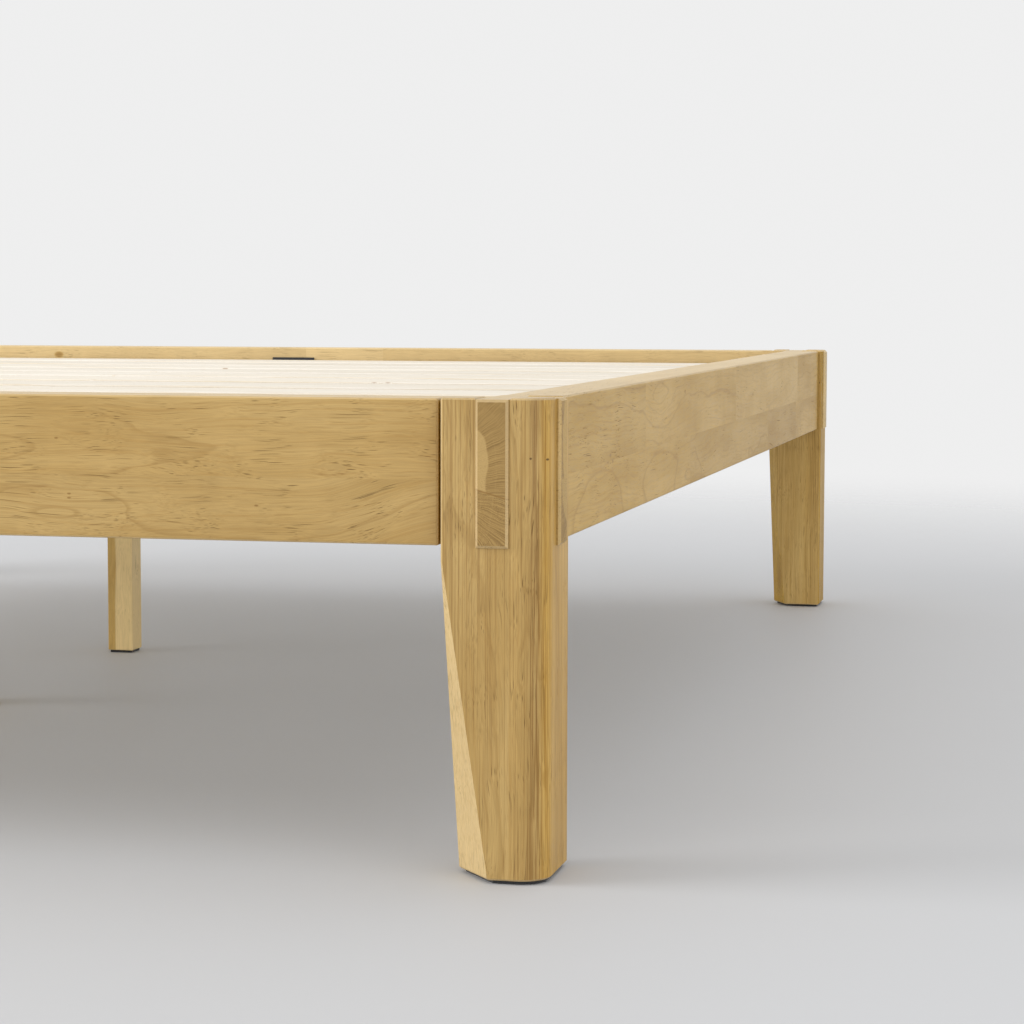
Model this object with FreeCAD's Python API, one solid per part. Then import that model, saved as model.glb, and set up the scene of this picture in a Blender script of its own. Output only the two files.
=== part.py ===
import FreeCAD, Part
import math
import os

# Low slatted platform bed of solid hardwood. The ends of the four rails pass right through the legs
# and cross inside them. Origin: middle of the bed on the floor. +X is the sleeper's right as seen
# from the foot, +Y runs from the foot to the head, +Z is up. All sizes are in millimetres.

Vector = FreeCAD.Vector

# ---------------------------------------------------------------- driving dimensions

# Mattress that the frame is made for, and the play around it.
mattress_width = 1600.0
mattress_length = 2000.0
mattress_play = 2.0

# Heights above the floor.
pad_thickness = 3.0
leg_height = 396.0
rail_height = 121.0
rail_top_drop = 1.0
slat_recess = 20.0

# Legs.
foot_leg_width = 89.0
head_leg_width = 81.0
leg_depth = 89.0
leg_outer_radius = 25.0
leg_edge_radius = 2.5
leg_end_chamfer = 1.5
taper_start_below_rail = 2.0
leg_taper = 6.2
foot_facet_width = 40.0
head_facet_width = 28.0
facet_depth = 42.0

# Rails, and the tongues at their ends.
rail_thickness = 54.0
rail_edge_radius = 2.5
side_rail_setback = 5.0
end_rail_setback = 12.0
side_shoulder_gap = 1.6
end_shoulder_gap = 4.3
tongue_thickness = 27.5
tongue_proud = 3.6
tongue_chamfer = 2.2
tongue_play = 0.3

# Ledges under the slat ends.
ledge_width = 25.0
ledge_height = 32.0
ledge_end_play = 3.0

# Slats.
slat_count = 11
slat_width = 130.0
slat_thickness = 18.0
slat_edge_radius = 2.0
slat_end_play = 2.0
slat_rail_gap = 5.0

# Centre beam, the brackets that carry it and the posts under it.
beam_width = 36.0
beam_height = 68.0
beam_end_play = 1.0
beam_edge_radius = 1.5
bracket_width = 70.0
bracket_steel = 2.5
bracket_corner_radius = 1.0
bracket_reach = 42.0
bracket_cheek_height = 52.0
bracket_above_slats = 4.0
bracket_play = 0.5
bracket_screw_low = 16.0
bracket_screw_rise = 34.0
post_width = 35.0
post_edge_radius = 1.5
foot_post_offset = 245.0
head_post_offset = 232.0

# Felt pads.
leg_pad_inset = 4.0
post_pad_inset = 2.5

# Fasteners: head radius, head height, shank radius and length, then the hexagon socket.
slat_screw = dict(head_r=4.0, head_h=2.4, shank_r=1.9, length=40.0, socket_r=1.4, socket_h=1.4)
ledge_screw = dict(head_r=4.5, head_h=2.6, shank_r=2.2, length=55.0, socket_r=1.6, socket_h=1.5)
bracket_screw = dict(head_r=4.2, head_h=2.2, shank_r=2.0, length=26.0, socket_r=1.5, socket_h=1.2)
lock_bolt = dict(head_r=7.0, head_h=4.0, shank_r=3.0, length=48.0, socket_r=2.5, socket_h=2.4)
post_bolt = dict(head_r=6.5, head_h=5.0, shank_r=4.0, length=92.0, socket_r=3.0, socket_h=3.0)
lock_bolt_below_ledge = 5.0
lock_bolt_spacing = 22.0
insert_radius = 6.0
insert_length = 30.0
thread_play = 0.05
shank_play = 0.4
head_play = 0.5

# ---------------------------------------------------------------- places worked out from them

inside_width = mattress_width + 2 * mattress_play
inside_length = mattress_length + 2 * mattress_play
half_inside_width = inside_width / 2
half_inside_length = inside_length / 2
half_width = half_inside_width + rail_thickness + side_rail_setback
half_length = half_inside_length + rail_thickness + end_rail_setback

leg_bottom = pad_thickness
leg_top = leg_bottom + leg_height
rail_top = leg_top - rail_top_drop
rail_bottom = rail_top - rail_height
rail_middle = (rail_top + rail_bottom) / 2
slat_top = rail_top - slat_recess
slat_bottom = slat_top - slat_thickness
taper_start = rail_bottom - taper_start_below_rail
ledge_top = slat_bottom
ledge_bottom = ledge_top - ledge_height
beam_bottom = slat_bottom - beam_height

# A leg is drawn at the left foot corner: its outer faces lie on x = -half_width and y = -half_length.
leg_x = -half_width
leg_y = -half_length
side_tongue_x1 = -half_inside_width
side_tongue_x0 = side_tongue_x1 - tongue_thickness
end_tongue_y1 = -half_inside_length
end_tongue_y0 = end_tongue_y1 - tongue_thickness

slat_pitch = (inside_length - 2 * slat_rail_gap - slat_width) / (slat_count - 1)
first_slat_y = -half_inside_length + slat_rail_gap + slat_width / 2

HUGE = 4 * (half_width + half_length)


# ---------------------------------------------------------------- shapes used by several pieces

def block(x0, x1, y0, y1, z0, z1):
    """Box between two corners."""
    return Part.makeBox(x1 - x0, y1 - y0, z1 - z0, Vector(x0, y0, z0))


def softened(shape, radius):
    """Shape with every edge rounded."""
    return shape.makeFillet(radius, shape.Edges)


def mirrored(shape, right, head):
    """Copy of a piece from the left foot corner at the right side, the head end, or both."""
    result = shape.copy()
    origin = Vector(0, 0, 0)
    if right:
        result = result.mirror(origin, Vector(1, 0, 0))
    if head:
        result = result.mirror(origin, Vector(0, 1, 0))
    return result


def half_space(point, outward):
    """Everything beyond the plane through a point, on the side that outward points to."""
    solid = Part.makeBox(HUGE, HUGE, HUGE, Vector(-HUGE / 2, -HUGE / 2, 0))
    solid.Placement = FreeCAD.Placement(point, FreeCAD.Rotation(Vector(0, 0, 1), outward))
    return solid


def plane_normal(a, b, c, towards):
    """Unit normal of the plane through three points, turned towards a direction."""
    normal = (b - a).cross(c - a)
    normal.normalize()
    if normal.dot(towards) < 0:
        normal = normal * -1
    return normal


def rounded_prism(corners, radii, z0, z1):
    """Upright prism over a convex outline, given anticlockwise, whose corners are rounded."""
    count = len(corners)
    edges = []
    tangents = []
    for i in range(count):
        here = Vector(corners[i][0], corners[i][1], z0)
        before = Vector(corners[i - 1][0], corners[i - 1][1], z0)
        after = Vector(corners[(i + 1) % count][0], corners[(i + 1) % count][1], z0)
        back = (before - here).normalize()
        forth = (after - here).normalize()
        half_angle = back.getAngle(forth) / 2
        reach = radii[i] / math.tan(half_angle)
        to_centre = (back + forth).normalize() * (radii[i] / math.sin(half_angle))
        centre = here + to_centre
        middle = centre - to_centre.normalize() * radii[i]
        tangents.append((here + back * reach, middle, here + forth * reach))
    for i in range(count):
        start, middle, end = tangents[i]
        edges.append(Part.Arc(start, middle, end).toShape())
        edges.append(Part.LineSegment(end, tangents[(i + 1) % count][0]).toShape())
    outline = Part.Wire(edges)
    return Part.Face(outline).extrude(Vector(0, 0, z1 - z0))


def rod(start, direction, radius, length):
    """Round bar, for shanks and for the holes that they go in."""
    return Part.makeCylinder(radius, length, start, direction)


def hexagon(start, direction, radius, depth):
    """Six-sided bar, for the socket in the head of a fastener."""
    points = [Vector(radius * math.cos(k * math.pi / 3), radius * math.sin(k * math.pi / 3), 0)
              for k in range(7)]
    bar = Part.Face(Part.makePolygon(points)).extrude(Vector(0, 0, depth))
    bar.Placement = FreeCAD.Placement(start, FreeCAD.Rotation(Vector(0, 0, 1), direction))
    return bar


def countersunk_screw(size, top, direction):
    """Screw with a flush conical head. top is the middle of the head's face."""
    head = Part.makeCone(size["head_r"], size["shank_r"], size["head_h"], top, direction)
    shank = rod(top, direction, size["shank_r"], size["length"])
    socket = hexagon(top, direction, size["socket_r"], size["socket_h"])
    return head.fuse(shank).removeSplitter().cut(socket)


def countersunk_hole(size, top, direction, through):
    """Hole for such a screw: shank play down to the depth called through, thread play below it."""
    play = shank_play
    cone = Part.makeCone(size["head_r"] + play, size["shank_r"] + play, size["head_h"], top, direction)
    wide = rod(top, direction, size["shank_r"] + play, through)
    narrow = rod(top, direction, size["shank_r"] + thread_play, size["length"] + play)
    return cone.fuse([wide, narrow])


def cap_bolt(size, seat, direction):
    """Bolt with a round socket head. seat is where the underside of the head rests."""
    head = rod(seat - direction * size["head_h"], direction, size["head_r"], size["head_h"])
    rim = [edge for edge in head.Edges if len(edge.Vertexes) == 1]
    head = head.makeChamfer(size["head_h"] / 6, rim)
    shank = rod(seat, direction, size["shank_r"], size["length"])
    top = seat - direction * size["head_h"]
    socket = hexagon(top, direction, size["socket_r"], size["socket_h"])
    return head.fuse(shank).cut(socket)


def bolt_hole(size, seat, direction, through):
    """Hole for such a bolt: shank play down to the depth called through, thread play below it."""
    wide = rod(seat, direction, size["shank_r"] + shank_play, through)
    narrow = rod(seat, direction, size["shank_r"] + thread_play, size["length"] + shank_play)
    return wide.fuse(narrow)


os.makedirs("parts", exist_ok=True)


def save(node, shape):
    shape.exportStep("parts/" + node + ".step")


# ---------------------------------------------------------------- lock bolts at the corners

def lock_bolt_axes(leg_width):
    """Seat and direction of the two bolts that hold the rail tongues to the leg's inner prong."""
    prong_x = (side_tongue_x1 + leg_x + leg_width) / 2
    prong_y = (end_tongue_y1 + leg_y + leg_depth) / 2
    high = ledge_bottom - lock_bolt["head_r"] - lock_bolt_below_ledge
    low = high - lock_bolt_spacing
    to_side_rail = (Vector(leg_x + leg_width, prong_y, low), Vector(-1, 0, 0))
    to_end_rail = (Vector(prong_x, leg_y + leg_depth, high), Vector(0, -1, 0))
    return to_side_rail, to_end_rail


def lock_bolt_holes(leg_width):
    side_prong = leg_x + leg_width - side_tongue_x1
    end_prong = leg_y + leg_depth - end_tongue_y1
    to_side_rail, to_end_rail = lock_bolt_axes(leg_width)
    return [bolt_hole(lock_bolt, *to_side_rail, side_prong + tongue_play),
            bolt_hole(lock_bolt, *to_end_rail, end_prong + tongue_play)]


# ---------------------------------------------------------------- legs and their pads

def leg_outline(leg_width, inset):
    """Corners and corner radii of a leg's outline as it would be without taper and facets."""
    x0 = leg_x + inset
    x1 = leg_x + leg_width - inset
    y0 = leg_y + inset
    y1 = leg_y + leg_depth - inset
    corners = [(x0, y0), (x1, y0), (x1, y1), (x0, y1)]
    radii = [leg_outer_radius - inset] + [leg_edge_radius] * 3
    return corners, radii


def leg_trim(leg_width, facet_width, inset):
    """Three half-spaces that thin the leg towards the floor: its inner side and two long facets."""
    x1 = leg_x + leg_width - inset
    y0 = leg_y + inset
    y1 = leg_y + leg_depth - inset
    inner = Vector(1, 0, 0)
    side = half_space(Vector(x1, 0, taper_start),
                      plane_normal(Vector(x1, 0, taper_start), Vector(x1, 1, taper_start),
                                   Vector(x1 - leg_taper, 0, leg_bottom), inner))
    facets = []
    for y, inward in ((y0, 1), (y1, -1)):
        start = Vector(x1, y, taper_start)
        on_face = Vector(x1 - facet_width, y, leg_bottom)
        on_side = Vector(x1 - leg_taper, y + inward * facet_depth, leg_bottom)
        outward = Vector(1, -inward, 0)
        facets.append(half_space(start, plane_normal(start, on_face, on_side, outward)))
    return [side] + facets


def make_leg(leg_width, facet_width):
    """Post with a cross-shaped open slot at the top, in which the rail tongues cross."""
    corners, radii = leg_outline(leg_width, 0)
    leg = rounded_prism(corners, radii, leg_bottom, leg_top)
    leg = leg.cut(leg_trim(leg_width, facet_width, 0))
    side_slot = block(side_tongue_x0 - tongue_play, side_tongue_x1 + tongue_play,
                      leg_y - HUGE, leg_y + HUGE, rail_bottom, leg_top + HUGE)
    end_slot = block(leg_x - HUGE, leg_x + HUGE,
                     end_tongue_y0 - tongue_play, end_tongue_y1 + tongue_play,
                     rail_bottom, leg_top + HUGE)
    low_prong = block(side_tongue_x1, leg_x + HUGE, end_tongue_y1, leg_y + HUGE,
                      slat_bottom, leg_top + HUGE)
    leg = leg.cut([side_slot, end_slot, low_prong])
    ends = [edge for edge in leg.Edges
            if edge.BoundBox.ZLength < 1e-6
            and (abs(edge.BoundBox.ZMin - leg_top) < 1e-6 or abs(edge.BoundBox.ZMin - leg_bottom) < 1e-6)]
    leg = leg.makeChamfer(leg_end_chamfer, ends)
    return leg.cut(lock_bolt_holes(leg_width))


def make_leg_pad(leg_width, facet_width):
    """Felt pad under a leg, a little smaller than the leg's own foot."""
    corners, radii = leg_outline(leg_width, leg_pad_inset)
    pad = rounded_prism(corners, radii, 0, leg_bottom)
    foot = rounded_prism(corners, radii, leg_bottom, taper_start)
    foot = foot.cut(leg_trim(leg_width, facet_width, leg_pad_inset))
    footprint = max((face for face in foot.Faces if abs(face.BoundBox.ZMax - leg_bottom) < 1e-6),
                    key=lambda face: face.Area)
    return pad.common(footprint.extrude(Vector(0, 0, -pad_thickness)))


for end, leg_width, facet_width in (("foot", foot_leg_width, foot_facet_width),
                                    ("head", head_leg_width, head_facet_width)):
    leg = make_leg(leg_width, facet_width)
    pad = make_leg_pad(leg_width, facet_width)
    for side in ("left", "right"):
        save(end + "_leg_" + side, mirrored(leg, side == "right", end == "head"))
        save(end + "_leg_pad_" + side, mirrored(pad, side == "right", end == "head"))


# ---------------------------------------------------------------- screw places

ledge_x0 = -half_inside_width
ledge_x1 = ledge_x0 + ledge_width
ledge_half_length = half_length - leg_depth - ledge_end_play

towards_left = Vector(-1, 0, 0)
downwards = Vector(0, 0, -1)

# Each slat has a screw at each end, and the ledge is screwed to its rail in every gap between slats.
slat_centres = [first_slat_y + k * slat_pitch for k in range(slat_count)]
slat_screw_tops = [Vector((ledge_x0 + ledge_x1) / 2, y, slat_top) for y in slat_centres]
ledge_screw_tops = [Vector(ledge_x1, y + slat_pitch / 2, (ledge_top + ledge_bottom) / 2)
                    for y in slat_centres[:-1]]

bracket_back_y = -half_inside_length
bracket_front_y = bracket_back_y + bracket_steel
bracket_bottom = beam_bottom - bracket_steel
bracket_cheek_x = beam_width / 2 + bracket_play
bracket_screw_x = (bracket_cheek_x + bracket_steel + bracket_width / 2) / 2
bracket_screw_seats = [Vector(x, bracket_front_y, bracket_bottom + z)
                       for x in (-bracket_screw_x, bracket_screw_x)
                       for z in (bracket_screw_low, bracket_screw_low + bracket_screw_rise)]
towards_foot = Vector(0, -1, 0)


# ---------------------------------------------------------------- rails

def make_side_rail():
    """Left side rail. Each tongue is notched from above, half of its height."""
    x0 = side_tongue_x1 - rail_thickness
    shoulder = half_length - leg_depth - side_shoulder_gap
    rail = softened(block(x0, side_tongue_x1, -shoulder, shoulder, rail_bottom, rail_top),
                    rail_edge_radius)
    tongue = block(side_tongue_x0, side_tongue_x1, leg_y - tongue_proud,
                   -shoulder + 4 * rail_edge_radius, rail_bottom, rail_top)
    outer_edges = [edge for edge in tongue.Edges if abs(edge.BoundBox.YMax - (leg_y - tongue_proud)) < 1e-6]
    tongue = tongue.makeChamfer(tongue_chamfer, outer_edges)
    notch = block(side_tongue_x0 - HUGE, side_tongue_x1 + HUGE, end_tongue_y0 - tongue_play,
                  end_tongue_y1 + tongue_play, rail_middle, rail_top + HUGE)
    tongue = tongue.cut(notch)
    rail = rail.fuse([tongue, mirrored(tongue, False, True)]).removeSplitter()
    holes = [countersunk_hole(ledge_screw, top, towards_left, ledge_width) for top in ledge_screw_tops]
    for width, head in ((foot_leg_width, False), (head_leg_width, True)):
        holes.append(mirrored(lock_bolt_holes(width)[0], False, head))
    return rail.cut(holes)


def make_end_rail(leg_width):
    """Foot rail, at the foot of the bed. Each tongue is notched from below, half of its height."""
    y0 = end_tongue_y1 - rail_thickness
    shoulder = half_width - leg_width - end_shoulder_gap
    rail = softened(block(-shoulder, shoulder, y0, end_tongue_y1, rail_bottom, rail_top),
                    rail_edge_radius)
    tongue = block(leg_x - tongue_proud, -shoulder + 4 * rail_edge_radius, end_tongue_y0, end_tongue_y1,
                   rail_bottom, rail_top)
    outer_edges = [edge for edge in tongue.Edges if abs(edge.BoundBox.XMax - (leg_x - tongue_proud)) < 1e-6]
    tongue = tongue.makeChamfer(tongue_chamfer, outer_edges)
    notch = block(side_tongue_x0 - tongue_play, side_tongue_x1 + tongue_play,
                  end_tongue_y0 - HUGE, end_tongue_y1 + HUGE, rail_bottom - HUGE, rail_middle)
    tongue = tongue.cut(notch)
    rail = rail.fuse([tongue, mirrored(tongue, True, False)]).removeSplitter()
    holes = [bolt_hole(bracket_screw, seat, towards_foot, bracket_steel) for seat in bracket_screw_seats]
    lock = lock_bolt_holes(leg_width)[1]
    return rail.cut(holes + [lock, mirrored(lock, True, False)])


side_rail = make_side_rail()
save("side_rail_left", side_rail)
save("side_rail_right", mirrored(side_rail, True, False))
save("foot_rail", make_end_rail(foot_leg_width))
save("head_rail", mirrored(make_end_rail(head_leg_width), False, True))


# ---------------------------------------------------------------- ledges under the slats

def make_ledge():
    ledge = block(ledge_x0, ledge_x1, -ledge_half_length, ledge_half_length, ledge_bottom, ledge_top)
    holes = [countersunk_hole(ledge_screw, top, towards_left, ledge_width) for top in ledge_screw_tops]
    holes += [countersunk_hole(slat_screw, top, downwards, slat_thickness) for top in slat_screw_tops]
    return ledge.cut(holes)


ledge = make_ledge()
save("slat_ledge_left", ledge)
save("slat_ledge_right", mirrored(ledge, True, False))


# ---------------------------------------------------------------- centre beam and its brackets

bolt_seat = slat_bottom - post_bolt["head_h"] - head_play
post_bolt_seats = [Vector(0, y, bolt_seat) for y in (-foot_post_offset, head_post_offset)]


def make_beam():
    """Beam under the middle of the slats, bored from above for the bolts of its posts."""
    half = half_inside_length - bracket_steel - beam_end_play
    beam = softened(block(-beam_width / 2, beam_width / 2, -half, half, beam_bottom, slat_bottom),
                    beam_edge_radius)
    holes = []
    for seat in post_bolt_seats:
        holes.append(rod(seat, Vector(0, 0, 1), post_bolt["head_r"] + head_play, HUGE))
        holes.append(rod(seat, downwards, post_bolt["shank_r"] + shank_play, HUGE))
    return beam.cut(holes)


def make_bracket():
    """Folded steel stirrup on the foot rail: a back plate with a shelf between two cheeks."""
    reach_y = bracket_front_y + bracket_reach
    outer_x = bracket_cheek_x + bracket_steel
    plate = block(-bracket_width / 2, bracket_width / 2, bracket_back_y, bracket_front_y,
                  bracket_bottom, slat_top + bracket_above_slats)
    upright = [edge for edge in plate.Edges
               if edge.BoundBox.YLength > 0 and edge.BoundBox.ZLength < 1e-6 and edge.BoundBox.XLength < 1e-6]
    plate = plate.makeFillet(bracket_corner_radius, upright)
    shelf = block(-outer_x, outer_x, bracket_back_y, reach_y, bracket_bottom, beam_bottom)
    cheek_top = beam_bottom + bracket_cheek_height
    left_cheek = block(-outer_x, -bracket_cheek_x, bracket_back_y, reach_y, bracket_bottom, cheek_top)
    right_cheek = mirrored(left_cheek, True, False)
    bracket = plate.fuse([shelf, left_cheek, right_cheek]).removeSplitter()
    return bracket.cut([bolt_hole(bracket_screw, seat, towards_foot, bracket_steel)
                        for seat in bracket_screw_seats])


bracket = make_bracket()
save("centre_beam", make_beam())
save("beam_bracket_foot", bracket)
save("beam_bracket_head", mirrored(bracket, False, True))


# ---------------------------------------------------------------- support posts

def make_post(y):
    """Square post under the beam, with a threaded insert in its top end."""
    half = post_width / 2
    post = softened(block(-half, half, y - half, y + half, leg_bottom, beam_bottom), post_edge_radius)
    top = Vector(0, y, beam_bottom)
    insert_hole = rod(top, downwards, insert_radius, insert_length)
    tip = post_bolt["length"] - (bolt_seat - beam_bottom) + shank_play
    bolt_tip_hole = rod(top, downwards, post_bolt["shank_r"] + shank_play, tip)
    return post.cut([insert_hole, bolt_tip_hole])


def make_insert(y):
    top = Vector(0, y, beam_bottom)
    body = rod(top, downwards, insert_radius, insert_length)
    return body.cut(rod(top, downwards, post_bolt["shank_r"] + thread_play, insert_length))


def make_post_pad(y):
    half = post_width / 2 - post_pad_inset
    return block(-half, half, y - half, y + half, 0, leg_bottom)


for end, y in (("foot", -foot_post_offset), ("head", head_post_offset)):
    save("support_post_" + end, make_post(y))
    save("post_pad_" + end, make_post_pad(y))
save("post_inserts", Part.Compound([make_insert(seat.y) for seat in post_bolt_seats]))
save("post_bolts", Part.Compound([cap_bolt(post_bolt, seat, downwards) for seat in post_bolt_seats]))


# ---------------------------------------------------------------- slats

def make_slat(top):
    """Pine slat across the bed, screwed to the ledge at each end."""
    half = half_inside_width - slat_end_play
    slat = softened(block(-half, half, top.y - slat_width / 2, top.y + slat_width / 2,
                          slat_bottom, slat_top), slat_edge_radius)
    hole = countersunk_hole(slat_screw, top, downwards, slat_thickness)
    return slat.cut([hole, mirrored(hole, True, False)])


for number, top in enumerate(slat_screw_tops, start=1):
    save("slat_%02d" % number, make_slat(top))


# ---------------------------------------------------------------- screws and bolts

def both_sides(shapes):
    return Part.Compound(shapes + [mirrored(shape, True, False) for shape in shapes])


def both_ends(shapes):
    return Part.Compound(shapes + [mirrored(shape, False, True) for shape in shapes])


save("slat_screws", both_sides([countersunk_screw(slat_screw, top, downwards)
                                for top in slat_screw_tops]))
save("ledge_screws", both_sides([countersunk_screw(ledge_screw, top, towards_left)
                                 for top in ledge_screw_tops]))
save("bracket_screws", both_ends([cap_bolt(bracket_screw, seat, towards_foot)
                                  for seat in bracket_screw_seats]))
foot_bolts = [cap_bolt(lock_bolt, *axis) for axis in lock_bolt_axes(foot_leg_width)]
head_bolts = [mirrored(cap_bolt(lock_bolt, *axis), False, True) for axis in lock_bolt_axes(head_leg_width)]
save("corner_lock_bolts", both_sides(foot_bolts + head_bolts))
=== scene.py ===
import math

import bmesh
import bpy
from mathutils import Matrix, Vector

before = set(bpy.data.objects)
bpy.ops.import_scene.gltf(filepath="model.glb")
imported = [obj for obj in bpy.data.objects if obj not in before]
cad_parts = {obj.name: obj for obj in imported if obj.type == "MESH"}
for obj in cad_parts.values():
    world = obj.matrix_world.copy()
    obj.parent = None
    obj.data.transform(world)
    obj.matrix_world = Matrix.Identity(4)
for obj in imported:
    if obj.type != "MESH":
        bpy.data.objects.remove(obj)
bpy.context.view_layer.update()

scene = bpy.context.scene
scene.view_settings.view_transform = "Standard"

# ------------------------------------------------------------------------------------ camera
# The photograph was taken from beyond the foot of the bed, a little right of its right side, at
# sitting height, through a short telephoto lens that looks slightly down.
camera_place = Vector((1.3087, -3.1795, 0.4806))
camera_turn_left = math.radians(12.717)
camera_tilt_down = math.radians(4.586)
camera_roll = math.radians(0.133)

view_ahead = Vector((-math.sin(camera_turn_left) * math.cos(camera_tilt_down),
                     math.cos(camera_turn_left) * math.cos(camera_tilt_down),
                     -math.sin(camera_tilt_down)))
level_right = Vector((math.cos(camera_turn_left), math.sin(camera_turn_left), 0))
level_up = level_right.cross(view_ahead)
view_right = math.cos(camera_roll) * level_right + math.sin(camera_roll) * level_up
view_up = math.cos(camera_roll) * level_up - math.sin(camera_roll) * level_right

lens = bpy.data.cameras.new("camera")
lens.lens = 94.18
lens.sensor_width = 36
lens.clip_start = 0.05
lens.clip_end = 60
camera = bpy.data.objects.new("camera", lens)
scene.collection.objects.link(camera)
camera.matrix_world = Matrix.Translation(camera_place) @ Matrix(
    (view_right, view_up, -view_ahead)).transposed().to_4x4()
scene.camera = camera


# ------------------------------------------------------------------------------------ legs
# Four square posts, each glued up from two boards of open-pored, honey coloured hardwood. A
# cross-shaped slot is sawn into the top, the outer corner is rounded, and the inner side and two
# facets are planed down towards the floor. Sanded, then finished with a clear satin lacquer.

def connect(tree, socket, value):
    """Links a socket to another one, or sets it to a value."""
    if isinstance(value, bpy.types.NodeSocket):
        tree.links.new(value, socket)
    else:
        socket.default_value = value


def add(tree, kind, inputs=None, **settings):
    """New shader node with its settings, and its inputs by name."""
    made = tree.nodes.new("ShaderNode" + kind)
    for name, value in settings.items():
        setattr(made, name, value)
    for name, value in (inputs or {}).items():
        connect(tree, made.inputs[name], value)
    return made


def calc(tree, operation, *terms, clamp=False):
    """Result of a sum on numbers or sockets."""
    made = add(tree, "Math", operation=operation, use_clamp=clamp)
    for place, term in enumerate(terms):
        connect(tree, made.inputs[place], term)
    return made.outputs[0]


def vector_calc(tree, operation, *terms):
    """Result of a sum on vectors."""
    made = add(tree, "VectorMath", operation=operation)
    for place, term in enumerate(terms):
        connect(tree, made.inputs[place], term)
    return made.outputs["Value" if operation in ("DOT_PRODUCT", "LENGTH") else "Vector"]


def scaled(tree, vector, factor):
    return add(tree, "VectorMath", {"Vector": vector, "Scale": factor}, operation="SCALE").outputs["Vector"]


def rise(tree, value, low, high, start=0.0, end=1.0):
    """Smooth step from start to end while value goes from low to high."""
    made = add(tree, "MapRange", {"Value": value, "From Min": low, "From Max": high, "To Min": start,
                                  "To Max": end}, interpolation_type="SMOOTHSTEP")
    return made.outputs["Result"]


def parts_of(tree, vector):
    return add(tree, "SeparateXYZ", {"Vector": vector}).outputs


def vector_of(tree, x, y, z):
    return add(tree, "CombineXYZ", {"X": x, "Y": y, "Z": z}).outputs["Vector"]


def patches(tree, place, size, detail=2.0):
    """Noise whose patches have about the given size in metres: one value, and three more."""
    made = add(tree, "TexNoise", {"Vector": vector_calc(tree, "DIVIDE", place, size), "Scale": 1.0,
                                  "Detail": detail})
    return made.outputs["Fac"], made.outputs["Color"]


def swerve(tree, place, size, reach, detail):
    """Shift across the fibres, up to about half of reach, that changes over patches of a size."""
    three = vector_calc(tree, "SUBTRACT", patches(tree, place, size, detail)[1], (0.5, 0.5, 0.5))
    return vector_calc(tree, "MULTIPLY", three, (0.0, reach, reach))


def blend_colors(tree, share, first, second):
    made = add(tree, "Mix", data_type="RGBA")
    connect(tree, made.inputs[0], share)
    connect(tree, made.inputs[6], first)
    connect(tree, made.inputs[7], second)
    return made.outputs[2]


def new_group(name, inputs, outputs):
    """Empty group of shader nodes, with the sockets to read from and to write to."""
    tree = bpy.data.node_groups.new(name, "ShaderNodeTree")
    for way, sockets in (("INPUT", inputs), ("OUTPUT", outputs)):
        for label, kind in sockets.items():
            tree.interface.new_socket(name=label, in_out=way, socket_type="NodeSocket" + kind)
    return tree, tree.nodes.new("NodeGroupInput").outputs, tree.nodes.new("NodeGroupOutput").inputs


def place_group(tree, group, inputs):
    made = tree.nodes.new("ShaderNodeGroup")
    made.node_tree = group
    for name, value in inputs.items():
        connect(tree, made.inputs[name], value)
    return made.outputs


def swatch(red, green, blue):
    """Linear colour from the 0 to 255 numbers of a swatch."""
    return tuple(((c / 255 + 0.055) / 1.055) ** 2.4 for c in (red, green, blue)) + (1.0,)


def new_material(name):
    """Material with its node tree, its Principled shader and the piece's own coordinates."""
    made = bpy.data.materials.new(name)
    made.use_nodes = True
    tree = made.node_tree
    place = add(tree, "TexCoord").outputs["Object"]
    return made, tree, tree.nodes["Principled BSDF"], place


def finish_with(material, *names):
    for name in names:
        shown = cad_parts[name]
        shown.data.materials.clear()
        shown.data.materials.append(material)


# Sizes of the grain in metres: along the fibres, then across them both ways.
board_shift = (9.0, 3.0, 3.0)
slow_bend = (0.42, 0.11, 0.11)
slow_bend_reach = 0.040
quick_bend = (0.11, 0.035, 0.035)
quick_bend_reach = 0.014
pore_cell = (0.075, 0.00080, 0.00080)
pore_cluster = (0.14, 0.018, 0.018)
pore_choice = (0.94, 1.22)
pore_radii = (0.16, 0.46)
pore_core = 0.35
pore_darkness = (0.45, 1.0)
fleck_cell = (0.036, 0.0007, 0.0007)
streak_patch = (0.32, 0.0028, 0.0028)
mottle_patch = (0.20, 0.040, 0.040)
ripple_patch = (0.020, 0.07, 0.07)
fibre_patch = (0.090, 0.0007, 0.0007)
ring_width = 0.016
ring_swing = 3.0
ring_swing_width = 0.018
ray_spacing = math.radians(0.42)
ray_length = 0.03
heartwood_radius = 0.068
heartwood_edge = 0.001


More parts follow.
